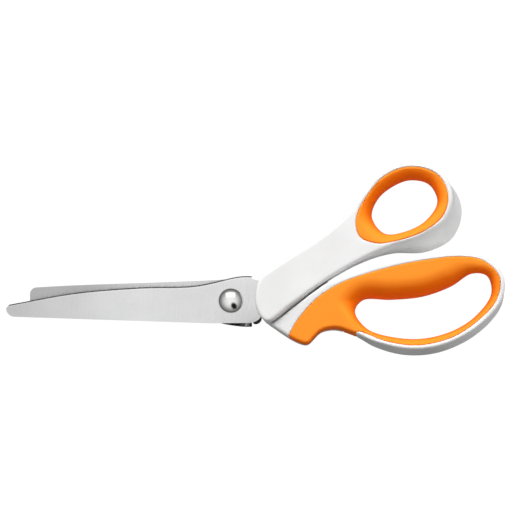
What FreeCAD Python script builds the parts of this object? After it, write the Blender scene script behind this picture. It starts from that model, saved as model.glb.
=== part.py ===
import FreeCAD, Part
import math
import os

V = FreeCAD.Vector
os.makedirs("parts", exist_ok=True)
doc = FreeCAD.newDocument("pinking_shears")

# Driving dimensions in millimetres. The pivot's axis is Z, the handles point to +X, the tips
# to -X, and the thumb handle opens towards +Y.
SIZES = {
    "blade_reach": 103.4,
    "rear_tip_setback": 10.6,
    "plate_gauge": 1.6,
    "bend_radius": 1.0,
    "tooth_pitch": 3.7,
    "tooth_rise": 2.2,
    "tooth_clearance": 0.3,
    "flange_end": 9.75,
    "nut_flange_rise": 2.0,
    "nut_flange_radius": 6.0,
    "sleeve_radius": 3.2,
    "screw_radius": 2.0,
    "running_clearance": 0.05,
    "spring_washer_gauge": 0.4,
    "spring_washer_radius": 5.2,
    "friction_washer_gauge": 0.5,
    "friction_washer_radius": 7.2,
    "spacer_gauge": 4.2,
    "spacer_radius": 7.8,
    "spacer_lobe_rise": 2.1,
    "head_radius": 5.7,
    "head_rise": 3.2,
    "head_rim_rise": 0.7,
    "handle_reach": 125.9,
    "handle_rise": 15.2,
    "root_split": 0.8,
    "root_cover": 2.0,
    "thumb_hole_flare": 1.3,
    "finger_hole_flare": 1.3,
    "grip_tongue_rise": 5.0,
    "lock_hole_radius": 2.2,
}
sheet = doc.addObject("Spreadsheet::Sheet", "sizes")
for row, (alias, number) in enumerate(SIZES.items(), start=1):
    sheet.set(f"A{row}", alias)
    sheet.set(f"B{row}", str(number))
    sheet.setAlias(f"B{row}", alias)
doc.recompute()
probe = doc.addObject("App::FeaturePython", "probe")

# Levels of the stack on the pivot, from the cap nut's flat face at zero upwards
REAR_PLATE = "sizes.nut_flange_rise + sizes.spring_washer_gauge"
REAR_WASHER = f"{REAR_PLATE} + sizes.plate_gauge"
SPACER = f"{REAR_WASHER} + sizes.friction_washer_gauge"
FRONT_WASHER = f"{SPACER} + sizes.spacer_gauge"
FRONT_PLATE = f"{FRONT_WASHER} + sizes.friction_washer_gauge"
FRONT_TOP = f"{FRONT_PLATE} + sizes.plate_gauge"
HEAD = f"{FRONT_TOP} + sizes.running_clearance"
SHEAR_PLANE = f"({REAR_WASHER} + {FRONT_PLATE}) / 2"


def size(expression):
    """Return the number that a sheet expression stands for."""
    return float(probe.evalExpression(expression))


# --- outlines ---------------------------------------------------------------------------------

# The drawn lengths that the outlines below were laid out at
DRAWN_BLADE = 103.4
DRAWN_HANDLE = 125.9
BLADE_SCALE = size("sizes.blade_reach") / DRAWN_BLADE
HANDLE_SCALE = size("sizes.handle_reach") / DRAWN_HANDLE

THUMB_REAR = [
    (18.9, -10.0), (27.3, -4.5), (45.4, 8.9), (61.7, 17.5), (74.7, 21.2), (90.0, 22.3),
    (102.3, 29.0), (106.6, 40.5), (103.6, 50.5), (92.5, 59.8), (80.5, 61.2), (69.8, 56.2),
    (62.3, 47.8), (53.2, 37.0), (38.6, 26.4), (22.3, 16.8), (13.4, 10.0),
]
THUMB_FRONT = [
    (17.2, -9.6), (27.3, -2.2), (45.0, 10.4), (60.7, 19.4), (73.0, 25.1), (87.0, 30.1),
    (97.6, 36.7), (101.7, 47.2), (98.5, 57.5), (90.5, 62.0), (79.0, 62.8), (68.5, 58.0),
    (61.0, 49.5), (52.0, 38.4), (38.0, 27.2), (22.0, 17.1), (13.4, 10.2),
]
THUMB_ROOT = (11.4, 1.0)
FINGER_REAR = [
    (13.8, 6.5), (28.0, 8.6), (45.5, 8.3), (57.3, 11.5), (70.5, 14.8), (83.4, 17.2),
    (97.0, 18.6), (109.0, 19.0), (119.8, 16.0), (125.9, 8.0), (125.3, -1.5), (119.5, -9.5),
    (108.5, -18.4), (94.2, -24.2), (80.0, -25.0), (66.7, -21.5), (57.8, -17.0), (48.2, -14.2),
    (41.8, -15.3), (38.4, -18.4), (36.2, -20.6), (34.4, -21.1), (29.8, -19.6), (20.9, -13.9), (15.2, -9.3),
]
FINGER_FRONT = [
    (13.8, 6.5), (28.0, 8.8), (45.0, 9.3), (56.8, 13.3), (70.0, 17.2), (82.8, 19.9),
    (96.0, 21.6), (107.8, 21.9), (118.6, 19.0), (125.4, 11.0), (124.7, 1.0), (118.5, -7.3),
    (107.5, -15.6), (94.0, -21.2), (80.0, -22.0), (66.5, -18.8), (57.3, -15.2), (48.3, -12.4),
    (41.8, -13.7), (38.6, -16.5), (36.2, -19.3), (34.4, -19.8), (29.8, -18.2), (20.9, -12.8), (14.6, -8.1),
]
FINGER_ROOT = (12.8, 0.0)
THUMB_GRIP = [
    (79.1, 61.2), (88.5, 61.0), (96.0, 57.0), (99.8, 48.0), (97.4, 38.9), (89.0, 32.2),
    (77.5, 27.9), (66.8, 26.4), (59.2, 29.4), (57.4, 37.4), (61.5, 47.0), (70.0, 57.0),
]
THUMB_HOLE = [
    (82.9, 55.4), (75.2, 52.7), (68.0, 46.8), (65.0, 38.5), (70.6, 30.9), (79.5, 31.5),
    (89.8, 36.7), (95.3, 45.5), (91.5, 53.4),
]
THUMB_HOLE_MIDDLE = (80.5, 43.0)
FINGER_GRIP = [
    (105.0, 20.4), (115.6, 18.6), (123.4, 11.0), (122.0, 0.5), (113.6, -8.9), (101.5, -16.7),
    (85.4, -20.4), (70.9, -18.6), (60.5, -15.6), (57.0, -17.5), (52.0, -22.0), (36.0, -28.0),
    (25.0, -22.0), (26.9, -15.5), (31.0, -8.3), (40.0, 1.6), (50.6, 8.2), (62.5, 12.5),
    (77.0, 16.4), (91.0, 19.0),
]
FINGER_HOLE = [
    (111.0, 12.5), (101.5, 7.0), (88.7, 2.4), (74.0, 0.9), (61.0, 0.4), (57.2, -5.0),
    (62.9, -13.1), (75.0, -17.0), (89.0, -17.6), (103.0, -13.8), (113.5, -6.8), (120.3, 3.2),
    (118.3, 11.2),
]
FINGER_HOLE_MIDDLE = (88.0, -3.5)

# The grips lean with the loops: how far their rear ends lie from the drawn ones. A hole leans
# by HOLE_LEAN of that.
THUMB_LEAN = (1.2, -2.2)
FINGER_LEAN = (0.6, -2.6)
HOLE_LEAN = 0.325

# Where along the handles their undercuts, slopes and tongue begin and end
UNDERCUT_START = 46.0
UNDERCUT_END = 60.0
SLOPE_START = 20.0
THUMB_SLOPE_END = 46.0
FINGER_SLOPE_END = 50.0
TONGUE_END = 52.0

# How far a cutting shape runs past the surface it cuts
OVERRUN = 2.0


def place(point, factor):
    """Return a drawn point with its reach scaled."""
    return (point[0] * factor, point[1] * factor)


def placed(points, factor):
    """Return drawn points with their reach scaled."""
    return [place(point, factor) for point in points]


def leaned(points, lean):
    """Return points moved sideways by lean."""
    return [(px + lean[0], py + lean[1]) for px, py in points]


def spread(points, middle, growth):
    """Return points pushed away from middle by growth millimetres."""
    result = []
    for px, py in points:
        distance = math.hypot(px - middle[0], py - middle[1])
        share = 1.0 + growth / distance
        result.append((middle[0] + (px - middle[0]) * share, middle[1] + (py - middle[1]) * share))
    return result


def spline(points, level=0.0, closed=False):
    """Return a smooth curve's edge through points at one level."""
    curve = Part.BSplineCurve()
    curve.interpolate(Points=[V(px, py, level) for px, py in points], PeriodicFlag=closed)
    return curve.toShape()


def line(start, end, level=0.0):
    """Return a straight edge at one level."""
    return Part.LineSegment(V(*start, level), V(*end, level)).toShape()


def arc(start, middle, end, level=0.0):
    """Return an arc through three points at one level."""
    return Part.Arc(V(*start, level), V(*middle, level), V(*end, level)).toShape()


def feature(name, shape):
    """Add a shape built with Part's own functions to the document."""
    item = doc.addObject("Part::Feature", name)
    item.Shape = shape
    return item


def loop_wire(name, points, level):
    """Add a closed smooth outline at one level."""
    return feature(name, Part.Wire([spline(points, level, closed=True)]))


def root_wire(name, points, root, level):
    """Add a handle outline: a smooth run round the handle, closed by an arc at its root."""
    edges = [spline(points, level), arc(points[-1], root, points[0], level)]
    return feature(name, Part.Wire(edges))


def loft(name, wires, ruled=True):
    """Add the solid between outlines at different levels."""
    item = doc.addObject("Part::Loft", name)
    item.Sections = wires
    item.Solid = True
    item.Ruled = ruled
    return item


def side_prism(name, corners, half_width):
    """Add a prism drawn by (x, level) corners and running across the shears."""
    wire = Part.makePolygon([V(px, -half_width, level) for px, level in corners + corners[:1]])
    return feature(name, Part.Face(wire).extrude(V(0, 2 * half_width, 0)))


def cut(name, base, tool):
    """Add base with tool removed."""
    item = doc.addObject("Part::Cut", name)
    item.Base = base
    item.Tool = tool
    return item


def common(name, base, tool):
    """Add what base and tool share."""
    item = doc.addObject("Part::Common", name)
    item.Base = base
    item.Tool = tool
    return item


def fuse(name, base, tool):
    """Add base and tool joined."""
    item = doc.addObject("Part::Fuse", name)
    item.Base = base
    item.Tool = tool
    return item


def cylinder(name, radius, height, level):
    """Add a cylinder on the pivot axis whose radius, height and level follow the sheet."""
    item = doc.addObject("Part::Cylinder", name)
    item.setExpression("Radius", radius)
    item.setExpression("Height", height)
    item.setExpression("Placement.Base.z", level)
    return item


# --- the pivot --------------------------------------------------------------------------------

SLEEVE_BORE = "sizes.sleeve_radius + sizes.running_clearance"


def pivot_nut():
    """Add the cap nut: a closed flat flange and a sleeve that every plate turns on."""
    flange = cylinder("nut_flange", "sizes.nut_flange_radius", "sizes.nut_flange_rise", "0")
    sleeve = cylinder("nut_sleeve", "sizes.sleeve_radius", HEAD, "0")
    bore = cylinder("nut_bore", "sizes.screw_radius", HEAD, "sizes.nut_flange_rise")
    return cut("pivot_nut", fuse("nut_blank", flange, sleeve), bore)


def pivot_screw():
    """Add the dome-headed screw whose shank fills the nut's bore."""
    shank = cylinder("screw_shank", "sizes.screw_radius", f"{HEAD} - sizes.nut_flange_rise",
                     "sizes.nut_flange_rise")
    rim = cylinder("head_blank", "sizes.head_radius", "sizes.head_rise", HEAD)
    crown = "(sizes.head_rise - sizes.head_rim_rise)"
    ball_radius = f"(sizes.head_radius ^ 2 + {crown} ^ 2) / (2 * {crown})"
    ball = doc.addObject("Part::Sphere", "head_ball")
    ball.setExpression("Radius", ball_radius)
    ball.setExpression("Placement.Base.z", f"{HEAD} + sizes.head_rise - {ball_radius}")
    return fuse("pivot_screw", common("dome_head", rim, ball), shank)


def washer(name, radius, gauge, level):
    """Add a flat washer that turns freely on the sleeve."""
    disc = cylinder(f"{name}_disc", radius, gauge, level)
    bore = cylinder(f"{name}_bore", SLEEVE_BORE, gauge, level)
    return cut(name, disc, bore)


def spacer_plate():
    """Add the moulded spacer between the plates, with the lobe that shows beside the root."""
    disc = cylinder("spacer_disc", "sizes.spacer_radius", "sizes.spacer_gauge", SPACER)
    start, end = (5.0, -4.0), (6.0, 0.0)
    rim = placed([(9.6, -8.2), (10.8, -10.9), (12.9, -10.6), (14.2, -8.8), (12.6, -5.2)],
                 HANDLE_SCALE)
    lobe_face = Part.Face(Part.Wire([spline([start, *rim, end]), line(end, start)]))
    lobe = doc.addObject("Part::Extrusion", "spacer_lobe")
    lobe.Base = feature("lobe_outline", lobe_face)
    lobe.DirMode = "Custom"
    lobe.Dir = V(0, 0, 1)
    lobe.Solid = True
    lobe.setExpression("LengthFwd", "sizes.spacer_lobe_rise")
    lobe.setExpression("Placement.Base.z", SPACER)
    bore = cylinder("spacer_bore", SLEEVE_BORE, "sizes.spacer_gauge", SPACER)
    return cut("spacer_plate", fuse("spacer_blank", disc, lobe), bore)


# --- the blades -------------------------------------------------------------------------------


# Behind this reach a plate is tang and follows the handle that it sits in
TANG_START = 14.0
FRONT_EDGE = [(-102.0, -1.9), (-92.8, -0.2), (-76.3, 2.8), (-51.0, 5.4), (-33.4, 6.2),
              (-15.8, 6.85), (-4.7, 9.15), (1.8, 10.7), (size("sizes.flange_end"), 11.1)]
REAR_TIP = -(DRAWN_BLADE - size("sizes.rear_tip_setback") / BLADE_SCALE)
REAR_EDGE = [(REAR_TIP, -3.5), (-33.0, -6.9), (-16.0, -7.9), (-11.4, -8.6), (-4.0, -10.7),
             (1.8, -11.7), (5.0, -12.1), (size("sizes.flange_end"), -12.1)]
FRONT_LOCKS = [(22.0, 6.0), (36.0, 16.0), (46.5, 24.0)]
REAR_LOCKS = [(24.0, -2.0), (38.0, -3.0)]


def blade_point(point):
    """Return a drawn blade point, scaled with the blade ahead of the pivot and its handle behind."""
    px, py = point
    if px > TANG_START:
        return (px * HANDLE_SCALE, py * HANDLE_SCALE)
    return (px * BLADE_SCALE if px < 0 else px, py)


def blade_points(points):
    """Return drawn blade points scaled."""
    return [blade_point(point) for point in points]


def front_outline():
    """Return the front plate's edges: blade, pivot disc and the tang in the thumb handle."""
    top = blade_points(FRONT_EDGE)
    tang = blade_points([(14.6, 8.8), (24.0, 15.0), (50.0, 30.5), (53.5, 26.5), (50.0, 21.5),
                         (26.0, 2.5), (15.8, -4.4)])
    heel = blade_points([(13.9, -7.4), (12.9, -8.6), (11.2, -9.7), (9.2, -10.2), (7.0, -10.3)])
    back = blade_points([(-9.9, -10.5), (-99.2, -7.5)])
    nose = blade_points([(-99.2, -7.5), (-102.6, -5.9), (-103.4, -3.6)])
    flange_step = (top[-1][0], 10.0)
    return [
        spline(top), line(top[-1], flange_step), line(flange_step, tang[0]),
        line(tang[0], tang[1]), line(tang[1], tang[2]), arc(*tang[2:5]), line(tang[4], tang[5]),
        line(tang[5], tang[6]), line(tang[6], heel[0]), spline(heel), line(heel[-1], back[0]),
        line(*back), arc(*nose), line(nose[-1], top[0]),
    ]


def rear_outline():
    """Return the rear plate's edges: blade, pivot disc and the tang in the finger handle."""
    low = blade_points(REAR_EDGE)
    tang = blade_points([(14.8, -5.6), (22.0, -8.6), (44.0, -8.5), (48.0, -4.0), (46.0, 1.2),
                         (24.0, 4.6), (14.8, 4.2)])
    crown = blade_points([(9.0, 7.6), (4.5, 9.6), (-3.6, 9.6), (-15.0, 9.0), (-33.0, 8.3),
                          (REAR_TIP + 3.3, 6.0)])
    tip = [crown[-1], (low[0][0] + 0.9, 5.1), (low[0][0], 3.0)]
    heel = (low[-1][0], -9.2)
    return [
        spline(low), line(low[-1], heel), line(heel, tang[0]), line(tang[0], tang[1]),
        line(tang[1], tang[2]), arc(*tang[2:5]), line(tang[4], tang[5]), line(tang[5], tang[6]),
        line(tang[6], crown[0]), spline(crown), arc(*tip), line(tip[-1], low[0]),
    ]


def sketch_on(body, name, role, edges):
    """Add a sketch with the given edges to one of a body's origin planes."""
    sketch = body.newObject("Sketcher::SketchObject", name)
    plane = [item for item in body.Origin.OriginFeatures if item.Role == role][0]
    sketch.AttachmentSupport = [(plane, "")]
    sketch.MapMode = "FlatFace"
    for edge in edges:
        curve = edge.Curve
        if isinstance(curve, Part.Line):
            curve = Part.LineSegment(edge.Vertexes[0].Point, edge.Vertexes[1].Point)
        elif isinstance(curve, Part.Circle) and len(edge.Vertexes) == 2:
            curve = Part.ArcOfCircle(curve, *edge.ParameterRange)
        sketch.addGeometry(curve, False)
    return sketch


def polyline(corners):
    """Return the closed run of straight edges through corners."""
    return [line(start, end) for start, end in zip(corners, corners[1:] + corners[:1])]


def circle(middle, radius):
    """Return a full circle's edge."""
    return Part.Circle(V(*middle, 0), V(0, 0, 1), radius).toShape()


# The zigzag's first crest, and how far it runs past the tips, both measured along the radius
FIRST_TOOTH = 8.2
WAVE_OVERRUN = 6.0


def tooth_wave(offset, closing_level):
    """Return the profile that trims a flange: a zigzag in radius, closed at one level."""
    inner = size("sizes.sleeve_radius")
    last = size("sizes.blade_reach") + WAVE_OVERRUN
    half_pitch = size("sizes.tooth_pitch") / 2
    middle = size(SHEAR_PLANE) + offset
    half_rise = size("sizes.tooth_rise") / 2
    count = math.ceil((last - FIRST_TOOTH) / half_pitch)
    peaks = [(FIRST_TOOTH + index * half_pitch, middle + half_rise * (-1) ** index)
             for index in range(count + 1)]
    ends = [(peaks[-1][0], closing_level), (inner, closing_level), (inner, middle)]
    return polyline(peaks + ends)


def blade(name, outline, edge_points, inward, lock_points):
    """Add one stamped blade: plate, flange along its cutting side, bore, holes and teeth."""
    front = inward < 0
    plate_level = FRONT_PLATE if front else REAR_PLATE
    body = doc.addObject("PartDesign::Body", name)
    plate = body.newObject("PartDesign::Pad", f"{name}_plate")
    plate.Profile = sketch_on(body, f"{name}_outline", "XY_Plane", outline)
    plate.setExpression("Length", "sizes.plate_gauge")
    plate.Profile[0].setExpression("AttachmentOffset.Base.z", plate_level)

    # The flange reaches past the shear plane, and the teeth trim it back
    outer = blade_points(edge_points)
    inner = [(px, py + inward * size("sizes.plate_gauge")) for px, py in outer]
    strip = [spline(outer), line(outer[-1], inner[-1]), spline(inner[::-1]),
             line(inner[0], outer[0])]
    flange = body.newObject("PartDesign::Pad", f"{name}_flange")
    flange.Profile = sketch_on(body, f"{name}_strip", "XY_Plane", strip)
    between = f"({FRONT_PLATE}) - ({REAR_WASHER})"
    reach = f"({between}) / 2 + sizes.tooth_rise + sizes.plate_gauge / 2"
    front_start = f"{FRONT_TOP} - sizes.plate_gauge / 2 - ({reach})"
    rear_start = f"{REAR_PLATE} + sizes.plate_gauge / 2"
    flange.setExpression("Length", reach)
    flange.Profile[0].setExpression("AttachmentOffset.Base.z", front_start if front else rear_start)
    doc.recompute()

    # The bend is rounded along the plate's outer face
    face_level = size(FRONT_TOP if front else REAR_PLATE)
    bend_middle = outer[len(outer) // 2]
    edges = body.Shape.Edges
    nearest = min(range(len(edges)), key=lambda index: edges[index].distToShape(
        Part.Vertex(*bend_middle, face_level))[0])
    bend = body.newObject("PartDesign::Fillet", f"{name}_bend")
    bend.Base = (flange, [f"Edge{nearest + 1}"])
    bend.setExpression("Radius", "sizes.bend_radius")
    doc.recompute()

    teeth = body.newObject("PartDesign::Groove", f"{name}_teeth")
    gap = size("sizes.tooth_clearance") / 2
    closing = size(REAR_PLATE) if front else size(FRONT_TOP)
    teeth.Profile = sketch_on(body, f"{name}_wave", "XZ_Plane", tooth_wave(gap * -inward, closing))
    teeth.ReferenceAxis = (teeth.Profile[0], ["V_Axis"])
    teeth.Angle = 360

    bores = body.newObject("PartDesign::Pocket", f"{name}_holes")
    rounds = [circle((0.0, 0.0), size(SLEEVE_BORE))]
    rounds += [circle(middle, size("sizes.lock_hole_radius")) for middle in blade_points(lock_points)]
    bores.Profile = sketch_on(body, f"{name}_hole_centres", "XY_Plane", rounds)
    bores.Type = "ThroughAll"
    bores.Midplane = True
    doc.recompute()
    return body


# --- the handles ------------------------------------------------------------------------------


def hole_through(name, outline, middle, lean, flare, factor):
    """Add the finger hole's void: narrow at mid height and flared towards both faces."""
    rise = size("sizes.handle_rise")
    centre = place(middle, factor)
    waist = placed(outline, factor)
    rear = leaned(spread(waist, centre, flare), (lean[0] * HOLE_LEAN, lean[1] * HOLE_LEAN))
    levels = [("rear", -OVERRUN, rear), ("waist", rise / 2, waist),
              ("front", rise + OVERRUN, spread(waist, centre, flare))]
    wires = [loop_wire(f"{name}_{where}", points, level) for where, level, points in levels]
    return loft(name, wires)


def envelope(name, rear, front, root, trims):
    """Add a handle's outer shape: the loft from its rear to its front outline, less its trims."""
    rear_wire = root_wire(f"{name}_rear", placed(rear, HANDLE_SCALE), place(root, HANDLE_SCALE), 0)
    front_wire = root_wire(f"{name}_front", placed(front, HANDLE_SCALE),
                           place(root, HANDLE_SCALE), size("sizes.handle_rise"))
    shape = loft(f"{name}_blank", [rear_wire, front_wire])
    for index, trim in enumerate(trims):
        shape = cut(f"{name}_trim_{index}", shape, trim)
    return shape


def handle(name, grip_name, shape, hole, zone, tang):
    """Add a handle's hard core and its soft grip, which fills the zone round the hole."""
    drilled = cut(f"{name}_drilled", shape, hole)
    grip = common(grip_name, drilled, zone)
    seat = cut(f"{name}_seat", drilled, zone)
    core = cut(name, seat, tang)
    return core, grip


def thumb_shape():
    """Add the thumb handle's outer shape: its root rides above the split between the halves."""
    above = size("sizes.handle_rise") + OVERRUN
    half_width = size("sizes.handle_reach")
    split = size(f"{SHEAR_PLANE} + sizes.root_split / 2")
    cover = size(f"{FRONT_TOP} + sizes.root_cover")
    under = side_prism("thumb_undercut", [
        (0.0, -OVERRUN), (0.0, split), (UNDERCUT_START * HANDLE_SCALE, split),
        (UNDERCUT_END * HANDLE_SCALE, -OVERRUN)], half_width)
    over = side_prism("thumb_slope", [
        (0.0, above), (0.0, cover), (SLOPE_START * HANDLE_SCALE, cover),
        (THUMB_SLOPE_END * HANDLE_SCALE, above)], half_width)
    return envelope("thumb_outer", THUMB_REAR, THUMB_FRONT, THUMB_ROOT, [under, over])


def finger_shape():
    """Add the finger handle's outer shape: its root lies below the split, behind a shoulder."""
    above = size("sizes.handle_rise") + OVERRUN
    half_width = size("sizes.handle_reach")
    shoulder = placed([(13.0, -16.0), (16.5, -12.6), (20.2, -10.7), (28.2, -5.1), (37.5, 2.1),
                       (46.1, 8.0), (51.0, 11.0), (60.0, 26.0)], HANDLE_SCALE)
    corners = placed([(0.0, 26.0), (0.0, -16.0)], HANDLE_SCALE)
    ends = [shoulder[-1], *corners, shoulder[0]]
    rim = [spline(shoulder)] + [line(start, end) for start, end in zip(ends, ends[1:])]
    pocket_face = Part.Face(Part.Wire(rim))
    pocket_face.translate(V(0, 0, size(f"{SHEAR_PLANE} - sizes.root_split / 2")))
    pocket = feature("finger_pocket", pocket_face.extrude(V(0, 0, above)))
    plate_level = size(FRONT_PLATE)
    slope = side_prism("finger_slope", [
        (0.0, above), (0.0, plate_level), (SLOPE_START * HANDLE_SCALE, plate_level),
        (FINGER_SLOPE_END * HANDLE_SCALE, above)], half_width)
    return envelope("finger_outer", FINGER_REAR, FINGER_FRONT, FINGER_ROOT, [pocket, slope])


def grip_zone(name, outline, lean):
    """Add the column that a soft grip fills, leaning with its loop."""
    above = size("sizes.handle_rise") + OVERRUN
    rear = loop_wire(f"{name}_rear", placed(leaned(outline, lean), HANDLE_SCALE), -OVERRUN)
    return loft(name, [rear, loop_wire(f"{name}_front", placed(outline, HANDLE_SCALE), above)])


def build():
    """Build every sub-part and return them by node name."""
    front_blade = blade("front_blade", front_outline(), FRONT_EDGE, -1.0, FRONT_LOCKS)
    rear_blade = blade("rear_blade", rear_outline(), REAR_EDGE, 1.0, REAR_LOCKS)

    thumb_hole = hole_through("thumb_hole", THUMB_HOLE, THUMB_HOLE_MIDDLE, THUMB_LEAN,
                              size("sizes.thumb_hole_flare"), HANDLE_SCALE)
    thumb_zone = grip_zone("thumb_zone", THUMB_GRIP, THUMB_LEAN)
    thumb_handle, thumb_grip = handle("thumb_handle", "thumb_grip", thumb_shape(), thumb_hole,
                                      thumb_zone, front_blade)

    # The finger grip stops above the tongue of hard core that backs the front bow
    finger_hole = hole_through("finger_hole", FINGER_HOLE, FINGER_HOLE_MIDDLE, FINGER_LEAN,
                               size("sizes.finger_hole_flare"), HANDLE_SCALE)
    tongue_level = size("sizes.grip_tongue_rise")
    tongue_end = TONGUE_END * HANDLE_SCALE
    tongue = side_prism("finger_tongue", [(0.0, -OVERRUN), (0.0, tongue_level),
                                          (tongue_end, tongue_level), (tongue_end, -OVERRUN)],
                        size("sizes.handle_reach"))
    finger_zone = cut("finger_zone", grip_zone("finger_zone_blank", FINGER_GRIP, FINGER_LEAN),
                      tongue)
    finger_handle, finger_grip = handle("finger_handle", "finger_grip", finger_shape(),
                                        finger_hole, finger_zone, rear_blade)
    return {
        "front_blade": front_blade,
        "rear_blade": rear_blade,
        "pivot_screw": pivot_screw(),
        "pivot_nut": pivot_nut(),
        "spring_washer": washer("spring_washer", "sizes.spring_washer_radius",
                                "sizes.spring_washer_gauge", "sizes.nut_flange_rise"),
        "rear_friction_washer": washer("rear_friction_washer", "sizes.friction_washer_radius",
                                       "sizes.friction_washer_gauge", REAR_WASHER),
        "spacer_plate": spacer_plate(),
        "front_friction_washer": washer("front_friction_washer", "sizes.friction_washer_radius",
                                        "sizes.friction_washer_gauge - sizes.running_clearance",
                                        f"{FRONT_WASHER} + sizes.running_clearance"),
        "thumb_handle": thumb_handle,
        "thumb_grip": thumb_grip,
        "finger_handle": finger_handle,
        "finger_grip": finger_grip,
    }


parts = build()
doc.recompute()
for item in doc.Objects:
    if "Invalid" in item.State or "Error" in item.State:
        raise RuntimeError(f"{item.Name} failed: {item.State}")
for node, item in parts.items():
    item.Label = node
    if item.Shape.isNull() or not item.Shape.isValid():
        raise RuntimeError(f"{node} has no valid shape")
    print(node, len(item.Shape.Solids), round(item.Shape.Volume, 1))
    item.Shape.exportStep(f"parts/{node}.step")
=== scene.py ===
"""Pinking shears, closed and lying flat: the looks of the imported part.

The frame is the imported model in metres. Its origin is on the pivot axis at the cap nut's face, +X runs
to the handles, +Y to the thumb loop and +Z to the dome head. Outlines here are in millimetres.
"""
import logging
import math
from dataclasses import dataclass, field
from enum import Enum

import bpy
import numpy as np
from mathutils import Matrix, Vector


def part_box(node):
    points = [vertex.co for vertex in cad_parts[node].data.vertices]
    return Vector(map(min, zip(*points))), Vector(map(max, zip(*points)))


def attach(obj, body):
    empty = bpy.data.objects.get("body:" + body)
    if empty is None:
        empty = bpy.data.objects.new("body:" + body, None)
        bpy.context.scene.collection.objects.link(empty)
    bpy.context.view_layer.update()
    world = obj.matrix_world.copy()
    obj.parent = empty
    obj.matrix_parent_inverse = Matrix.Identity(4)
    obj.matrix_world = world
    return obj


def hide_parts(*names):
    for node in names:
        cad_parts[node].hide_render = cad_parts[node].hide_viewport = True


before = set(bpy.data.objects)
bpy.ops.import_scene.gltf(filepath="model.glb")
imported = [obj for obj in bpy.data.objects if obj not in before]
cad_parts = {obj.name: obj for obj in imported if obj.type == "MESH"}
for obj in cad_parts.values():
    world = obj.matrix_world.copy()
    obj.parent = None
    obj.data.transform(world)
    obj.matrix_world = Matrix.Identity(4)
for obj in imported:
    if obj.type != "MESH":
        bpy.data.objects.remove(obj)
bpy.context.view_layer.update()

MM = 0.001
# A noise seldom leaves this range, so tones are spread over it.
NOISE_LOW, NOISE_HIGH = 0.3, 0.7
# A Mix node's colour sockets share their names with its number sockets, so they go by place.
MIX_FIRST, MIX_SECOND, MIX_RESULT = 6, 7, 2
UNSCALED = (1.0, 1.0, 1.0)
log = logging.getLogger("pinking_shears")
Point = tuple[float, float]
Triple = tuple[float, float, float]
Grid = np.ndarray


class Body(Enum):
    """The two halves that the pivot joins."""

    FINGER = "finger_half"
    THUMB = "thumb_half"


class Slot(Enum):
    """The record's material slots that new pieces are passed."""

    POLISHED = "polished_steel"
    WHITE = "white_plastic"
    ORANGE = "orange_grip"


# --- finishes ---------------------------------------------------------------------------------


def add_node(tree: bpy.types.NodeTree, kind: str, **values: object) -> bpy.types.Node:
    """Add a node and set its inputs or, where it has no such input, its properties.

    Args:
        tree: the nodes to add to.
        kind: the node's type.
        values: inputs or properties by name, with spaces written as underscores.

    Returns:
        The new node.
    """
    made = tree.nodes.new(kind)
    for key, value in values.items():
        socket = made.inputs.get(key.replace("_", " "))
        if socket is not None:
            socket.default_value = value
        else:
            setattr(made, key, value)
    return made


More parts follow.
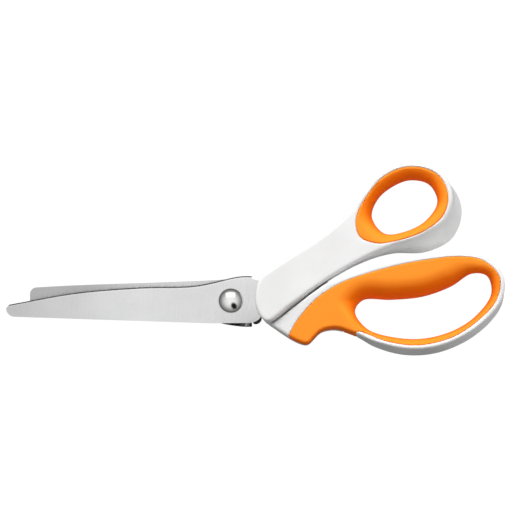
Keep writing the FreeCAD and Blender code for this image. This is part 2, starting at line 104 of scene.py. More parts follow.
@dataclass(frozen=True)
class Finish:
    """What every finish has: a name and the usual steps of a node tree."""

    name: str

    def material(self) -> bpy.types.Material:
        """Return this finish's material, made once.

        Returns:
            The material with its nodes.
        """
        known = bpy.data.materials.get(self.name)
        if known is not None:
            return known
        made = bpy.data.materials.new(self.name)
        made.use_nodes = True
        tree = made.node_tree
        self.dress(tree, tree.nodes["Principled BSDF"])
        return made

    def dress(self, tree: bpy.types.NodeTree, shader: bpy.types.Node) -> None:
        """Fill the node tree. Each finish has its own.

        Args:
            tree: the material's nodes.
            shader: its Principled shader.
        """
        raise NotImplementedError

    def place(self, tree: bpy.types.NodeTree, scale: Triple,
              turn: float = 0.0) -> bpy.types.NodeSocket:
        """Return the object's own coordinates, turned about Z and stretched.

        Args:
            tree: the material's nodes.
            scale: cycles per metre along each axis.
            turn: angle about Z in degrees.

        Returns:
            The vector to plug into a texture.
        """
        coordinates = add_node(tree, "ShaderNodeTexCoord")
        mapping = add_node(tree, "ShaderNodeMapping", Scale=scale,
                           Rotation=(0.0, 0.0, math.radians(turn)))
        tree.links.new(coordinates.outputs["Object"], mapping.inputs["Vector"])
        return mapping.outputs["Vector"]

    def noise(self, tree: bpy.types.NodeTree, scale: Triple, detail: float,
              turn: float = 0.0) -> bpy.types.NodeSocket:
        """Return a noise's value socket.

        Args:
            tree: the material's nodes.
            scale: cycles per metre along each axis.
            detail: octaves of finer noise.
            turn: angle about Z in degrees.

        Returns:
            The noise's factor.
        """
        texture = add_node(tree, "ShaderNodeTexNoise", Scale=1.0, Detail=detail)
        tree.links.new(self.place(tree, scale, turn), texture.inputs["Vector"])
        return texture.outputs["Fac"]

    def remap(self, tree: bpy.types.NodeTree, value: bpy.types.NodeSocket, low: float,
              high: float, start: float = NOISE_LOW, end: float = NOISE_HIGH
              ) -> bpy.types.NodeSocket:
        """Return a value stretched to a range.

        Args:
            tree: the material's nodes.
            value: what is stretched.
            low: result at start.
            high: result at end.
            start: value that gives low.
            end: value that gives high.

        Returns:
            The stretched value.
        """
        stretch = add_node(tree, "ShaderNodeMapRange", From_Min=start, From_Max=end, To_Min=low,
                           To_Max=high)
        tree.links.new(value, stretch.inputs["Value"])
        return stretch.outputs["Result"]

    def tint(self, tree: bpy.types.NodeTree, value: bpy.types.NodeSocket,
             dark: Triple, light: Triple,
             target: bpy.types.NodeSocket) -> None:
        """Colour a socket between two tones.

        Args:
            tree: the material's nodes.
            value: mixing value.
            dark: tone at the low end.
            light: tone at the high end.
            target: the socket to colour.
        """
        ramp = add_node(tree, "ShaderNodeValToRGB")
        for stop, place, tone in zip(ramp.color_ramp.elements, (NOISE_LOW, NOISE_HIGH), (dark, light)):
            stop.position = place
            stop.color = (*tone, 1.0)
        tree.links.new(value, ramp.inputs["Fac"])
        tree.links.new(ramp.outputs["Color"], target)

    def bump(self, tree: bpy.types.NodeTree, shader: bpy.types.Node,
             layers: list[tuple[bpy.types.NodeSocket, float, float]]) -> None:
        """Stack bump layers into the shader's normal.

        Args:
            tree: the material's nodes.
            shader: the Principled shader.
            layers: each height with its strength and its depth in metres.
        """
        below = None
        for height, strength, depth in layers:
            relief = add_node(tree, "ShaderNodeBump", Strength=strength, Distance=depth)
            tree.links.new(height, relief.inputs["Height"])
            if below is not None:
                tree.links.new(below, relief.inputs["Normal"])
            below = relief.outputs["Normal"]
        if below is not None:
            tree.links.new(below, shader.inputs["Normal"])


@dataclass(frozen=True)
class BrushedSteel(Finish):
    """Stamped blade steel: fine grain across the blade, faint stains and handling marks.

    Each relief is a bump's strength and its depth in metres. Painted shade darkens the tip between two x
    in metres.
    """

    dark: Triple = (0.71, 0.71, 0.715)
    light: Triple = (0.78, 0.78, 0.785)
    turn: float = 0.0
    # Painted shade: the tone at the tip, as a share of the stained tone.
    tip_tone: float = 0.76
    tip_fade: Point = (-0.098, -0.040)
    roughness: Point = (0.24, 0.38)
    grain_scale: Triple = (5200.0, 120.0, 900.0)
    stain_scale: Triple = (45.0, 60.0, 45.0)
    scratch_scale: Triple = (90.0, 6400.0, 400.0)
    scratch_turn: float = 7.0
    grain_relief: Point = (0.16, 0.00004)
    scratch_relief: Point = (0.05, 0.00003)

    def dress(self, tree: bpy.types.NodeTree, shader: bpy.types.Node) -> None:
        """Fill the node tree with grain, stains and fine scratches, and painted shade darker towards the
        tip.

        Args:
            tree: the material's nodes.
            shader: its Principled shader.
        """
        shader.inputs["Metallic"].default_value = 1.0
        grain = self.noise(tree, self.grain_scale, detail=3.0, turn=self.turn)
        stains = self.noise(tree, self.stain_scale, detail=4.0)
        scratches = self.noise(tree, self.scratch_scale, detail=2.0,
                               turn=self.turn + self.scratch_turn)
        # Painted shade: the stained tone is multiplied by a darkening towards the tip.
        tip_shading = add_node(tree, "ShaderNodeMix", data_type="RGBA", blend_type="MULTIPLY", Factor=1.0)
        self.tint(tree, stains, self.dark, self.light, tip_shading.inputs[MIX_FIRST])
        along = add_node(tree, "ShaderNodeSeparateXYZ")
        tree.links.new(self.place(tree, UNSCALED), along.inputs["Vector"])
        tip_shade = self.remap(tree, along.outputs["X"], self.tip_tone, 1.0, *self.tip_fade)
        tree.links.new(tip_shade, tip_shading.inputs[MIX_SECOND])
        tree.links.new(tip_shading.outputs[MIX_RESULT], shader.inputs["Base Color"])
        tree.links.new(self.remap(tree, grain, *self.roughness), shader.inputs["Roughness"])
        self.bump(tree, shader, [(grain, *self.grain_relief), (scratches, *self.scratch_relief)])


@dataclass(frozen=True)
class PolishedSteel(Finish):
    """Turned and polished steel with faint turning rings."""

    tone: Triple = (0.88, 0.88, 0.87)
    smudge_tone: float = 0.93
    smudge_scale: Triple = (260.0, 260.0, 260.0)
    roughness: Point = (0.05, 0.12)
    ring_scale: float = 1100.0
    ring_wobble: float = 0.6
    ring_relief: Point = (0.05, 0.00002)

    def dress(self, tree: bpy.types.NodeTree, shader: bpy.types.Node) -> None:
        """Fill the node tree with smudges and turning rings.

        Args:
            tree: the material's nodes.
            shader: its Principled shader.
        """
        shader.inputs["Metallic"].default_value = 1.0
        dark = tuple(self.smudge_tone * part for part in self.tone)
        smudges = self.noise(tree, self.smudge_scale, detail=3.0)
        self.tint(tree, smudges, dark, self.tone, shader.inputs["Base Color"])
        tree.links.new(self.remap(tree, smudges, *self.roughness), shader.inputs["Roughness"])
        rings = add_node(tree, "ShaderNodeTexWave", wave_type="RINGS", rings_direction="Z",
                         Scale=self.ring_scale, Distortion=self.ring_wobble, Detail=1.0)
        tree.links.new(self.place(tree, UNSCALED), rings.inputs["Vector"])
        self.bump(tree, shader, [(rings.outputs["Fac"], *self.ring_relief)])


@dataclass(frozen=True)
class MouldedPlastic(Finish):
    """Hard moulded plastic: satin, very slightly uneven, with a fine spark-eroded texture."""

    dark: Triple = (0.76, 0.76, 0.755)
    light: Triple = (0.82, 0.82, 0.815)
    roughness: Point = (0.34, 0.46)
    glow: float = 0.06
    glow_depth: float = 0.002
    drift_scale: Triple = (60.0, 60.0, 60.0)
    wave_scale: Triple = (140.0, 140.0, 140.0)
    wave_relief: Point = (0.05, 0.0002)
    texture_scale: Triple = (3600.0, 3600.0, 3600.0)
    texture_relief: Point = (0.12, 0.00003)

    def dress(self, tree: bpy.types.NodeTree, shader: bpy.types.Node) -> None:
        """Fill the node tree with slow colour drift and fine texture.

        Args:
            tree: the material's nodes.
            shader: its Principled shader.
        """
        drift = self.noise(tree, self.drift_scale, detail=3.0)
        texture = self.noise(tree, self.texture_scale, detail=2.0)
        waves = self.noise(tree, self.wave_scale, detail=2.0)
        self.tint(tree, drift, self.dark, self.light, shader.inputs["Base Color"])
        tree.links.new(self.remap(tree, waves, *self.roughness), shader.inputs["Roughness"])
        shader.inputs["Subsurface Weight"].default_value = self.glow
        shader.inputs["Subsurface Scale"].default_value = self.glow_depth
        self.bump(tree, shader, [(waves, *self.wave_relief), (texture, *self.texture_relief)])


@dataclass(frozen=True)
class SoftGrip(Finish):
    """Soft-touch rubber: matt and finely pebbled, with painted light: a yellower tone on the side that
    faces the light.
    """

    dark: Triple = (0.96, 0.170, 0.0)
    light: Triple = (1.0, 0.190, 0.001)
    # Painted light: the yellower tone of surfaces that face the light's side.
    painted_light_tone: Triple = (1.0, 0.300, 0.024)
    light_side: Triple = (-0.10, 0.48, 0.87)
    painted_light_range: Point = (0.5, 0.86)
    roughness: Point = (0.50, 0.62)
    gloss: float = 0.15
    glow: float = 0.05
    glow_depth: float = 0.0015
    drift_scale: Triple = (70.0, 70.0, 70.0)
    pebble_scale: Triple = (2300.0, 2300.0, 2300.0)
    pebble_relief: Point = (0.25, 0.00006)
    texture_scale: Triple = (5200.0, 5200.0, 5200.0)
    texture_relief: Point = (0.1, 0.00003)

    def dress(self, tree: bpy.types.NodeTree, shader: bpy.types.Node) -> None:
        """Fill the node tree with drift, the painted light (yellower where the surface faces the light's
        side) and pebbling.

        Args:
            tree: the material's nodes.
            shader: its Principled shader.
        """
        drift = self.noise(tree, self.drift_scale, detail=4.0)
        pebbles = add_node(tree, "ShaderNodeTexVoronoi", Scale=1.0, feature="SMOOTH_F1")
        tree.links.new(self.place(tree, self.pebble_scale), pebbles.inputs["Vector"])
        texture = self.noise(tree, self.texture_scale, detail=2.0)
        blend = add_node(tree, "ShaderNodeMix", data_type="RGBA")
        blend.inputs[MIX_SECOND].default_value = (*self.painted_light_tone, 1.0)
        self.tint(tree, drift, self.dark, self.light, blend.inputs[MIX_FIRST])
        # Painted light: how far the normal faces the light's side mixes in the yellower tone.
        surface = add_node(tree, "ShaderNodeNewGeometry")
        facing = add_node(tree, "ShaderNodeVectorMath", operation="DOT_PRODUCT")
        facing.inputs[1].default_value = self.light_side
        tree.links.new(surface.outputs["Normal"], facing.inputs[0])
        painted_light_share = self.remap(tree, facing.outputs["Value"], 0.0, 1.0, *self.painted_light_range)
        tree.links.new(painted_light_share, blend.inputs["Factor"])
        tree.links.new(blend.outputs[MIX_RESULT], shader.inputs["Base Color"])
        tree.links.new(self.remap(tree, drift, *self.roughness), shader.inputs["Roughness"])
        shader.inputs["Specular IOR Level"].default_value = self.gloss
        shader.inputs["Subsurface Weight"].default_value = self.glow
        shader.inputs["Subsurface Scale"].default_value = self.glow_depth
        self.bump(tree, shader, [(pebbles.outputs["Distance"], *self.pebble_relief),
                                 (texture, *self.texture_relief)])


FRONT_STEEL = BrushedSteel("front_blade_steel", turn=4.0)
# Painted shade: the rear blade is the front blade's steel made darker all over, and darker at the tip
# where it lies in shadow.
SHADED_REAR_STEEL = BrushedSteel("rear_blade_shaded_steel", dark=(0.64, 0.64, 0.645), light=(0.71, 0.71, 0.715),
                          tip_tone=0.70, tip_fade=(-0.066, -0.034))
HEAD_STEEL = PolishedSteel("polished_head")
NUT_STEEL = PolishedSteel("plated_nut", tone=(0.62, 0.62, 0.63))
WASHER_STEEL = PolishedSteel("spring_steel", tone=(0.50, 0.51, 0.53))
BLACK_NYLON = MouldedPlastic("black_spacer", dark=(0.012, 0.012, 0.013), light=(0.02, 0.02, 0.021),
                             roughness=(0.45, 0.55), glow=0.0)
WHITE_PLASTIC = MouldedPlastic("white_handle")
ORANGE_GRIP = SoftGrip("orange_soft_grip")


# --- shapes -----------------------------------------------------------------------------------


def add_mesh(name: str, points: list, faces: list, smooth: bool = True) -> bpy.types.Object:
    """Add an object with a new mesh to the scene.

    Args:
        name: the object's name and the mesh's.
        points: its points in metres.
        faces: lists of point numbers.
        smooth: whether its faces are shaded as one surface.

    Returns:
        The object.
    """
    mesh = bpy.data.meshes.new(name)
    mesh.from_pydata(points, [], faces)
    if smooth:
        mesh.shade_smooth()
    made = bpy.data.objects.new(name, mesh)
    bpy.context.scene.collection.objects.link(made)
    return made


def closed_curve(points: list[Point], per_span: int = 12) -> np.ndarray:
    """Return a smooth closed curve through points, which doesn't loop where they are uneven.

    Args:
        points: the outline's points in order.
        per_span: points made between two neighbours.

    Returns:
        An array of (x, y) rows.
    """
    knots = np.array(points, float)
    before, after, beyond = (np.roll(knots, shift, axis=0) for shift in (1, -1, -2))
    steps = [np.linalg.norm(b - a, axis=1) ** 0.5 for a, b in
             ((before, knots), (knots, after), (after, beyond))]
    share = np.linspace(0.0, 1.0, per_span, endpoint=False)[None, :, None]
    first, second, third = (step[:, None, None] for step in steps)
    a, b, c, d = (row[:, None, :] for row in (before, knots, after, beyond))
    leave = second * ((b - a) / first - (c - a) / (first + second) + (c - b) / second)
    reach = second * ((c - b) / second - (d - b) / (second + third) + (d - c) / third)
    cubic = (2 * (b - c) + leave + reach) * share ** 3
    square = (3 * (c - b) - 2 * leave - reach) * share ** 2
    return (cubic + square + leave * share + b).reshape(-1, 2)


def outline_distance(outline: np.ndarray, across: Grid, along: Grid) -> Grid:
    """Return signed distances to a closed outline, negative inside.

    Args:
        outline: the outline's points.
        across: x of each place.
        along: y of each place.

    Returns:
        One distance for each place.
    """
    nearest = np.full(across.shape, np.inf)
    inside = np.zeros(across.shape, bool)
    for start, end in zip(outline, np.roll(outline, -1, axis=0)):
        run = end - start
        share = ((across - start[0]) * run[0] + (along - start[1]) * run[1]) / (run @ run)
        share = np.clip(share, 0.0, 1.0)
        off_x = across - start[0] - share * run[0]
        off_y = along - start[1] - share * run[1]
        nearest = np.minimum(nearest, off_x ** 2 + off_y ** 2)
        if start[1] != end[1]:
            spans = (start[1] > along) != (end[1] > along)
            crossing = start[0] + run[0] * (along - start[1]) / run[1]
            inside ^= spans & (across < crossing)
    return np.where(inside, -1.0, 1.0) * np.sqrt(nearest)


def shared(first: Grid, second: Grid, radius: float | Grid) -> Grid:
    """Return the field of what two solids share, with the edge between them rounded.

    Args:
        first: one solid's distances.
        second: the other's.
        radius: the rounding in millimetres, one for all or one for each place.

    Returns:
        The shared solid's distances.
    """
    corner = np.hypot(np.maximum(first + radius, 0.0), np.maximum(second + radius, 0.0))
    return np.minimum(np.maximum(first, second), -radius) + corner


def eased(value: Grid, start: float, end: float) -> Grid:
    """Return a smooth step from 0 at start to 1 at end."""
    share = np.clip((value - start) / (end - start), 0.0, 1.0)
    return share * share * (3.0 - 2.0 * share)


@dataclass
class Lattice:
    """The regular points that a moulded solid is worked out on."""

    low: Vector
    high: Vector
    step: float

    def __post_init__(self) -> None:
        """Lay out the points along each axis."""
        self.axes = [np.arange(a, b + self.step, self.step) for a, b in zip(self.low, self.high)]
        self.across, self.along = np.meshgrid(self.axes[0], self.axes[1], indexing="ij")
        self.level = self.axes[2][None, None, :]

    def between(self, rear: np.ndarray, front: np.ndarray, share: Grid) -> Grid:
        """Return distances to a wall that leans from one outline to another.

        Args:
            rear: the outline where share is 0.
            front: the outline where share is 1.
            share: how far each lattice point is from the rear face to the front face.

        Returns:
            Distances at every lattice point.
        """
        behind = outline_distance(rear, self.across, self.along)[:, :, None]
        before = outline_distance(front, self.across, self.along)[:, :, None]
        return behind * (1.0 - share) + before * share

    def skin(self, name: str, values: Grid) -> bpy.types.Object:
        """Make the closed surface where a field is zero.

        Each lattice cell that the surface crosses gets one point, the mean of the crossings on the
        cell's edges. Each crossed edge gets one face, between the four cells round it.

        Args:
            name: the new object's name.
            values: distances, negative inside.

        Returns:
            The object, in metres.
        """
        cells = tuple(length - 1 for length in values.shape)
        total = np.zeros((3, math.prod(cells)))
        count = np.zeros(math.prod(cells))
        faces = []
        for axis in range(3):
            near = np.take(values, range(values.shape[axis] - 1), axis=axis)
            far = np.take(values, range(1, values.shape[axis]), axis=axis)
            crosses = (near < 0) != (far < 0)
            corner = np.argwhere(crosses)
            start, end = near[crosses], far[crosses]
            place = corner.astype(float)
            place[:, axis] += start / (start - end)
            one, two = [other for other in range(3) if other != axis]
            ring = []
            for shift in ((-1, -1), (0, -1), (0, 0), (-1, 0)):
                cell = corner.copy()
                cell[:, one] += shift[0]
                cell[:, two] += shift[1]
                flat = np.ravel_multi_index(tuple(cell.T), cells)
                ring.append(flat)
                count += np.bincount(flat, minlength=len(count))
                for part in range(3):
                    total[part] += np.bincount(flat, place[:, part], minlength=len(count))
            quads = np.stack(ring, axis=1)
            outward = (start < 0) ^ (axis == 1)
            faces.append(np.where(outward[:, None], quads, quads[:, ::-1]))
        used = np.flatnonzero(count)
        renumber = np.full(len(count), -1)
        renumber[used] = np.arange(len(used))
        quads = renumber[np.concatenate(faces)]
        points = (total[:, used] / count[used]).T * self.step + np.array(self.low)
        points = self.relaxed(points, quads)
        return add_mesh(name, (points * MM).tolist(), quads.tolist())

    @staticmethod
    def relaxed(points: np.ndarray, quads: np.ndarray, rounds: int = 4, pull: float = 0.5,
                push: float = -0.52) -> np.ndarray:
        """Smooth away the lattice's small steps without shrinking the surface.

        Args:
            points: the surface's points.
            quads: its faces.
            rounds: how many times every point moves in and back out.
            pull: how far a point moves towards the mean of its neighbours, as a share.
            push: how far it moves back, a little further so that nothing shrinks.

        Returns:
            The moved points.
        """
        starts, ends = quads.ravel(), np.roll(quads, -1, axis=1).ravel()
        degree = np.bincount(starts, minlength=len(points))[:, None]
        for share in (pull, push) * rounds:
            sums = [np.bincount(starts, points[ends, part], minlength=len(points))
                    for part in range(3)]
            points = points + share * (np.stack(sums, axis=1) / degree - points)
        return points


def lathe(name: str, profile: list[Point], turns: int = 96) -> bpy.types.Object:
    """Make a closed turned solid about the pivot axis.

    Args:
        name: the new object's name.
        profile: (radius, level) points in millimetres from the axis at the bottom to the top.
        turns: how many steps go round.

    Returns:
        The object, in metres.
    """
    points: list[Vector] = []
    rings: list[list[int]] = []
    for radius, level in profile:
        if radius == 0.0:
            rings.append([len(points)] * turns)
            points.append(Vector((0.0, 0.0, level)) * MM)
            continue
        rings.append(list(range(len(points), len(points) + turns)))
        for index in range(turns):
            angle = 2 * math.pi * index / turns
            points.append(Vector((radius * math.cos(angle), radius * math.sin(angle), level)) * MM)
    faces = []
    for lower, upper in zip(rings, rings[1:]):
        for index in range(turns):
            after = (index + 1) % turns
            corners = [lower[index], lower[after], upper[after], upper[index]]
            faces.append(list(dict.fromkeys(corners)))
    return add_mesh(name, points, faces)


def paint(piece: bpy.types.Object, finish: Finish) -> None:
    """Give a piece its finish in place of what it had.

    Args:
        piece: the object.
        finish: its material.
    """
    piece.data.materials.clear()
    piece.data.materials.append(finish.material())


def finish_piece(piece: bpy.types.Object, body: Body, finish: Finish, slot: Slot,
                 *stands_for: str) -> None:
    """Give a piece its finish, its body and the nodes that it stands for.

    Args:
        piece: the new object.
        body: the half that it moves with.
        finish: its material.
        slot: the record's slot for it; not used.
        stands_for: CAD nodes that aren't shown any more.
    """
    paint(piece, finish)
    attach(piece, body.value)
    if stands_for:
        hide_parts(*stands_for)
    log.info("%s rides on %s with %s", piece.name, body.value, finish.name)


def dress_node(node: str, finish: Finish) -> None:
    """Give a CAD node that stays in view its finish.

    Args:
        node: the node's name.
        finish: its material.
    """
    paint(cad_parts[node], finish)
    log.info("%s keeps its shape, with %s", node, finish.name)


# --- the handles ------------------------------------------------------------------------------


@dataclass
class Handle:
    """One moulded handle: a hard core with a soft grip round its finger hole."""

    name: str
    body: Body
    rear: list[Point]
    front: list[Point]
    grip: list[Point]
    hole: list[Point]
    lean: Point
    root_top: float
    root_slope: Point
    rise: float = 15.2
    step: float = 0.5
    quick_step: float = 0.8
    spare: float = 1.5
    swell: float = 1.0
    front_round: float = 1.5
    rear_round: float = 1.3
    rear_roll: float = 4.0
    seam_round: float = 0.15

    def lattice(self) -> Lattice:
        """Return the lattice round this handle.

        Returns:
            A lattice with room to spare all round, as the curves swell past their points.
        """
        corners = np.array(self.rear + self.front)
        low = Vector((*(corners.min(0) - self.spare - self.swell), -self.spare))
        high = Vector((*(corners.max(0) + self.spare + self.swell), self.rise + self.spare))
        return Lattice(low, high, self.step)

    def top(self, lattice: Lattice) -> Grid:
        """Return the front face's level: lower at the root than at the loop."""
        return self.root_top + (self.rise - self.root_top) * eased(lattice.across, *self.root_slope)

    def bottom(self, lattice: Lattice) -> Grid:
        """Return the rear face's level at each place."""
        return np.zeros(lattice.across.shape)

    def over(self, lattice: Lattice) -> Grid:
        """Return distances to the front face, negative behind it."""
        return lattice.level - self.top(lattice)[:, :, None]

    def under(self, lattice: Lattice) -> Grid:
        """Return distances to the rear face, negative in front of it."""
        return self.bottom(lattice)[:, :, None] - lattice.level

    def outer(self, lattice: Lattice, wall: Grid) -> Grid:
        """Return the handle's outer shape, without its hole.

        Args:
            lattice: where the distances are worked out.
            wall: distances to the side wall.

        Returns:
            The outer shape's distances.
        """
        capped = shared(wall, self.over(lattice), self.front_round)
        return shared(capped, self.under(lattice), self.rear_round)

    def front_rolls(self, lattice: Lattice) -> Grid:
        """Return how wide the roll into the hole is at the front. Each handle has its own."""
        raise NotImplementedError

    def rear_rolls(self, lattice: Lattice) -> Grid:
        """Return how wide the roll into the hole is at the rear, in millimetres."""
        return np.full(lattice.across.shape, self.rear_roll)

    def share(self, lattice: Lattice) -> Grid:
        """Return how far each place is from the rear face, 0, to the front face, 1."""
        low = self.bottom(lattice)[:, :, None]
        high = self.top(lattice)[:, :, None]
        return np.clip((lattice.level - low) / (high - low), 0.0, 1.0)

    def zone(self, lattice: Lattice) -> Grid:
        """Return distances to the grip's boundary, negative on the grip's side."""
        moved = [(px + self.lean[0], py + self.lean[1]) for px, py in self.grip]
        return lattice.between(closed_curve(moved), closed_curve(self.grip), self.share(lattice))

    def build(self) -> None:
        """Make the core and the grip."""
        lattice = self.lattice()
        wall = lattice.between(closed_curve(self.rear), closed_curve(self.front),
                               self.share(lattice))
        void = outline_distance(closed_curve(self.hole), lattice.across, lattice.along)
        hole = -void[:, :, None]
        front_rolls = self.front_rolls(lattice)[:, :, None]
        rear_rolls = self.rear_rolls(lattice)[:, :, None]
        funnel = np.maximum(shared(hole, self.over(lattice), front_rolls),
                            shared(hole, self.under(lattice), rear_rolls))
        solid = np.maximum(self.outer(lattice, wall), funnel)
        zone = self.zone(lattice)
        core = lattice.skin(f"{self.name}_core", shared(solid, -zone, self.seam_round))
        grip = lattice.skin(f"{self.name}_soft_grip", shared(solid, zone, self.seam_round))
        finish_piece(core, self.body, WHITE_PLASTIC, Slot.WHITE, f"{self.name}_handle")
        finish_piece(grip, self.body, ORANGE_GRIP, Slot.ORANGE, f"{self.name}_grip")


@dataclass
class ThumbHandle(Handle):
    """The round-looped handle, whose root rides in front of the other handle's."""

    name: str = "thumb"
    body: Body = Body.THUMB
    rear: list[Point] = field(default_factory=lambda: [
        (18.9, -10.0), (27.3, -4.5), (45.4, 8.9), (61.7, 17.5), (74.7, 21.2), (90.2, 21.7),
        (102.9, 28.3), (107.3, 40.3), (104.2, 50.4), (92.5, 59.8), (80.5, 61.2), (69.8, 56.2),
        (62.3, 47.8), (53.2, 37.0), (38.6, 26.4), (22.3, 16.8), (13.4, 10.0), (11.5, 4.5),
        (11.5, -2.0), (14.5, -8.4)])
    front: list[Point] = field(default_factory=lambda: [
        (17.2, -9.6), (27.3, -2.2), (45.0, 10.4), (60.7, 19.4), (73.0, 25.1), (87.0, 30.1),
        (97.6, 36.7), (101.7, 47.2), (98.5, 57.5), (90.5, 62.0), (79.0, 62.8), (68.5, 58.0),
        (61.0, 49.5), (52.0, 38.4), (38.0, 27.2), (22.0, 17.1), (13.4, 10.2), (11.5, 4.5),
        (11.5, -2.0), (14.0, -7.8)])
    grip: list[Point] = field(default_factory=lambda: [
        (79.1, 61.2), (88.5, 61.0), (96.0, 57.0), (99.8, 48.0), (97.4, 38.9), (89.0, 32.2),
        (77.5, 27.9), (66.8, 26.4), (59.2, 29.4), (57.4, 37.4), (61.5, 47.0), (70.0, 57.0)])
    hole: list[Point] = field(default_factory=lambda: [
        (82.9, 55.4), (75.2, 52.7), (68.0, 46.8), (65.0, 38.5), (70.6, 30.9), (79.5, 31.5),
        (89.8, 36.7), (95.3, 45.5), (91.5, 53.4)])
    lean: Point = (1.2, -2.2)
    hole_middle: Point = (80.5, 43.0)
    hole_reach: float = 14.0
    lean_way: Point = (-0.6, 0.8)
    front_roll: Point = (4.2, 4.3)
    rear_roll_gain: float = -3.0
    rear_roll: float = 6.0
    root_top: float = 12.8
    root_slope: Point = (16.0, 40.0)
    root_bottom: float = 7.0
    root_step: Point = (46.5, 60.0)

    def tilt(self, lattice: Lattice) -> Grid:
        """Return 1 on the hole's upper left side, 0 on its lower right side."""
        across = self.lean_way[0] * (lattice.across - self.hole_middle[0])
        along = self.lean_way[1] * (lattice.along - self.hole_middle[1])
        return eased(across + along, -self.hole_reach, self.hole_reach)

    def front_rolls(self, lattice: Lattice) -> Grid:
        """Return a roll that is wide on the upper left, where the hole leans away."""
        least, gain = self.front_roll
        return least + gain * self.tilt(lattice)

    def rear_rolls(self, lattice: Lattice) -> Grid:
        """Return a rear roll that is wide on the lower right."""
        return self.rear_roll + self.rear_roll_gain * self.tilt(lattice)

    def bottom(self, lattice: Lattice) -> Grid:
        """Return the rear face's level: above the other handle's root, then down to the table."""
        return self.root_bottom * (1.0 - eased(lattice.across, *self.root_step))


@dataclass
class FingerHandle(Handle):
    """The long-looped handle, whose root passes behind the thumb handle's."""

    name: str = "finger"
    body: Body = Body.FINGER
    rear: list[Point] = field(default_factory=lambda: [
        (13.8, 6.5), (28.0, 8.6), (45.5, 8.3), (57.3, 11.5), (70.5, 14.8), (83.4, 17.2),
        (97.0, 18.6), (109.0, 19.0), (119.8, 16.0), (125.9, 8.0), (125.6, -1.8), (120.2, -10.3),
        (108.9, -19.3), (94.4, -24.9), (80.0, -25.6), (66.5, -21.9), (57.8, -17.0),
        (48.2, -14.2), (41.8, -15.3), (38.4, -18.4), (36.2, -20.6), (34.4, -21.1), (29.8, -19.6),
        (20.9, -13.9), (15.2, -9.3), (13.0, -3.0)])
    front: list[Point] = field(default_factory=lambda: [
        (13.8, 6.5), (28.0, 8.8), (45.0, 9.3), (56.8, 13.3), (70.0, 17.2), (82.8, 19.9),
        (96.0, 21.6), (107.8, 21.9), (118.6, 19.0), (125.4, 11.0), (124.7, 1.0), (118.5, -7.3),
        (107.5, -15.6), (94.0, -21.2), (80.0, -22.0), (66.5, -18.8), (57.3, -15.2),
        (48.3, -12.4), (41.8, -13.7), (38.6, -16.5), (36.2, -19.3), (34.4, -19.8), (29.8, -18.2),
        (20.9, -12.8), (14.6, -8.1), (13.0, -3.0)])
    grip: list[Point] = field(default_factory=lambda: [
        (105.0, 20.4), (115.6, 18.6), (123.4, 11.0), (122.0, 0.5), (113.6, -8.9),
        (101.5, -16.7), (85.4, -20.4), (70.9, -18.3), (63.0, -15.3), (58.4, -14.0),
        (55.8, -16.4), (52.0, -22.0), (36.0, -28.0), (25.0, -22.0), (26.9, -15.5), (31.0, -8.3),
        (40.0, 1.6), (50.6, 8.2), (62.5, 12.5), (77.0, 16.4), (91.0, 19.0)])
    hole: list[Point] = field(default_factory=lambda: [
        (111.0, 12.3), (101.5, 6.3), (88.7, 1.7), (74.0, 0.2), (61.0, 0.0), (57.2, -5.2),
        (62.9, -13.1), (75.0, -17.0), (89.0, -17.6), (103.0, -13.8), (113.5, -6.8),
        (120.3, 3.2), (118.3, 11.2)])
    lean: Point = (0.6, -2.6)
    shoulder: list[Point] = field(default_factory=lambda: [
        (13.0, -16.0), (16.1, -12.2), (19.7, -10.1), (27.5, -4.2), (36.8, 3.0), (45.6, 8.9),
        (51.0, 11.0), (60.0, 26.0), (30.0, 30.0), (0.0, 26.0), (-2.0, 5.0), (0.0, -16.0)])
    front_roll: Point = (5.0, 5.5)
    upper_bar: Point = (-9.0, 1.0)
    bar_end: Point = (96.0, 116.0)
    root_top: float = 9.2
    root_slope: Point = (14.0, 46.0)
    pocket_floor: float = 6.2
    pocket_round: float = 0.7
    tongue_end: float = 52.0
    tongue_top: float = 5.0

    def front_rolls(self, lattice: Lattice) -> Grid:
        """Return a wide roll under the broad upper bar and a narrow one along the lower bar."""
        least, gain = self.front_roll
        share = eased(lattice.along, *self.upper_bar) * (1.0 - eased(lattice.across, *self.bar_end))
        return least + gain * share

    def outer(self, lattice: Lattice, wall: Grid) -> Grid:
        """Return the outer shape, less the pocket that the thumb handle's root lies in.

        Args:
            lattice: where the distances are worked out.
            wall: distances to the side wall.

        Returns:
            The outer shape's distances.
        """
        blank = super().outer(lattice, wall)
        outline = closed_curve(self.shoulder)
        beside = outline_distance(outline, lattice.across, lattice.along)[:, :, None]
        pocket = np.maximum(beside, self.pocket_floor - lattice.level)
        return shared(blank, -pocket, self.pocket_round)

    def zone(self, lattice: Lattice) -> Grid:
        """Return the grip's boundary: a hard tongue stays under it along the arm."""
        tongue = np.minimum(self.tongue_end - lattice.across[:, :, None],
                            self.tongue_top - lattice.level)
        return np.maximum(super().zone(lattice), tongue)


# --- the pivot and the blades -----------------------------------------------------------------


